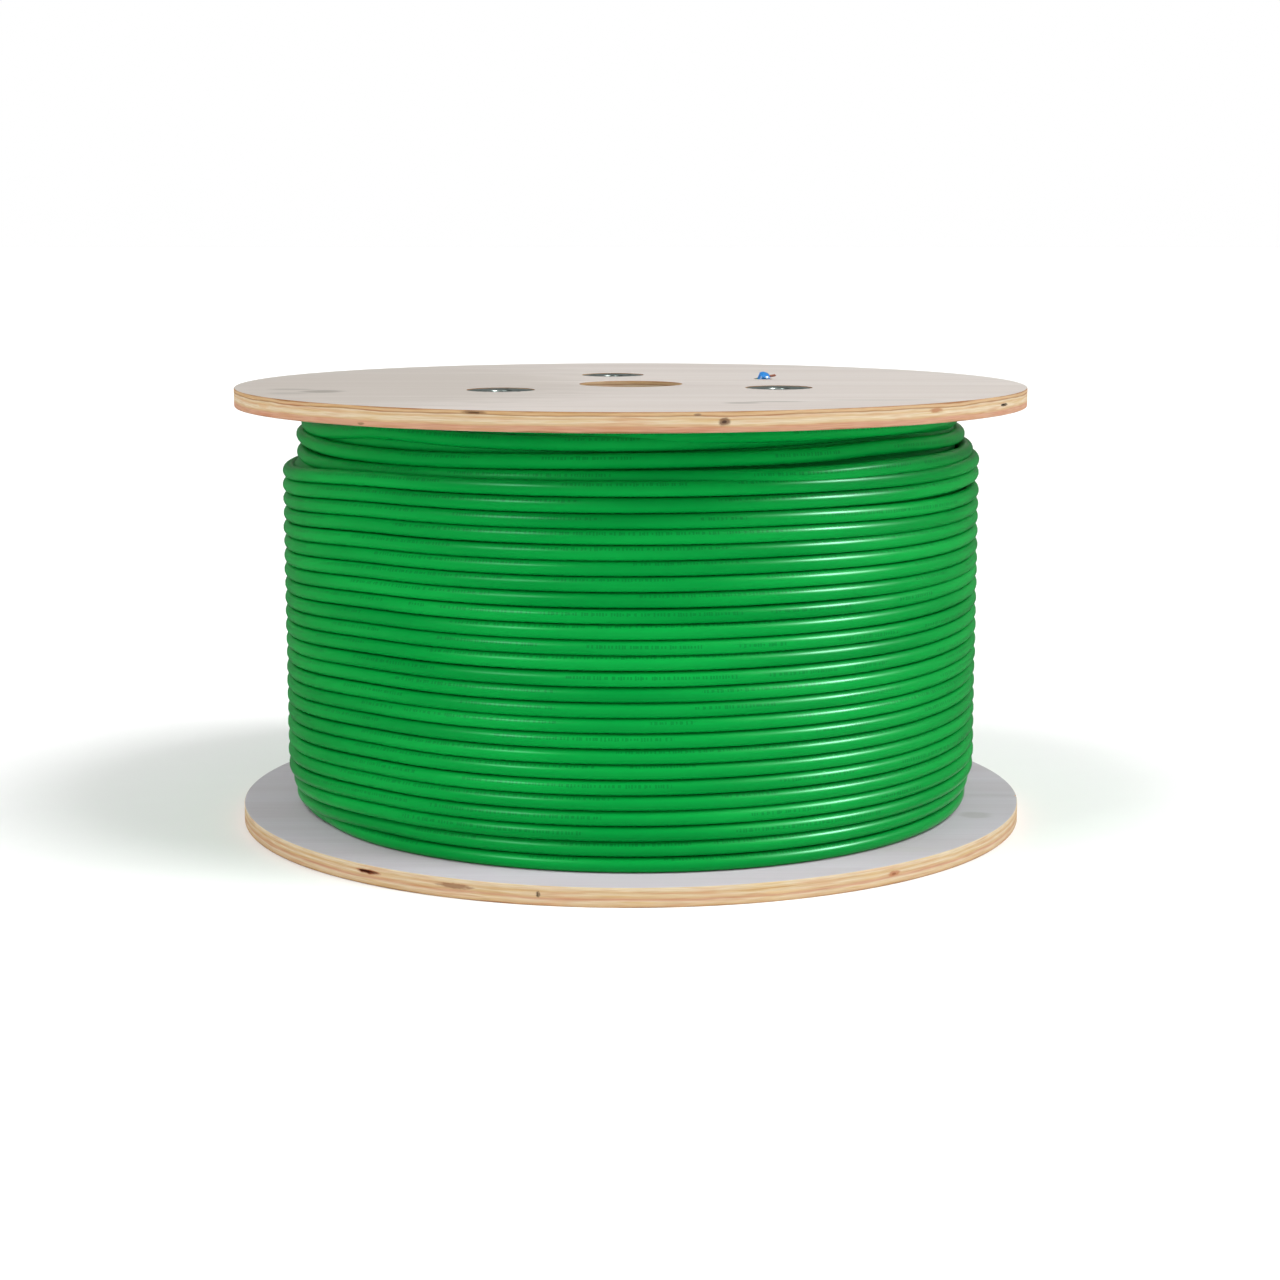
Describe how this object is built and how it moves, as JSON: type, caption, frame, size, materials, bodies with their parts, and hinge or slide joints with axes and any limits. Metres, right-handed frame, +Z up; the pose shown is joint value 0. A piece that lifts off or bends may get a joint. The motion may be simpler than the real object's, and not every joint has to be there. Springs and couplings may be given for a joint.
{
  "type": "cable spool",
  "caption": "Plywood reel standing on its flange, full of green network cable wound in level turns on a drum; tie bolts and an arbor hole through both flanges.",
  "frame": {"origin": "centre of the bottom flange's underside, on the floor that the reel stands on", "axes": "+Z up along the reel's axis; -Y towards the viewer, +X to the right; the first tie bolt is 97 degrees round from +X"},
  "size_m": [0.4, 0.4, 0.2248],
  "materials": {
    "plywood": "sanded and unsealed",
    "cardboard": "plain spiral-wound board",
    "green_jacket": "satin extruded PVC",
    "blue_core": "polyester-faced foil",
    "brown_wire": "smooth insulation",
    "zinc": "dull zinc plate"
  },
  "bodies": {
    "root": {"bottom_flange": "plywood", "top_flange": "plywood", "drum": "cardboard", "cable_winding": "green_jacket", "cable_inner_end": "green_jacket", "inner_end_core": "blue_core", "inner_end_wire": "brown_wire", "tie_bolt_1": "zinc", "tie_bolt_2": "zinc", "tie_bolt_3": "zinc", "tee_nut_1": "zinc", "tee_nut_2": "zinc", "tee_nut_3": "zinc"}
  },
  "joints": []
}
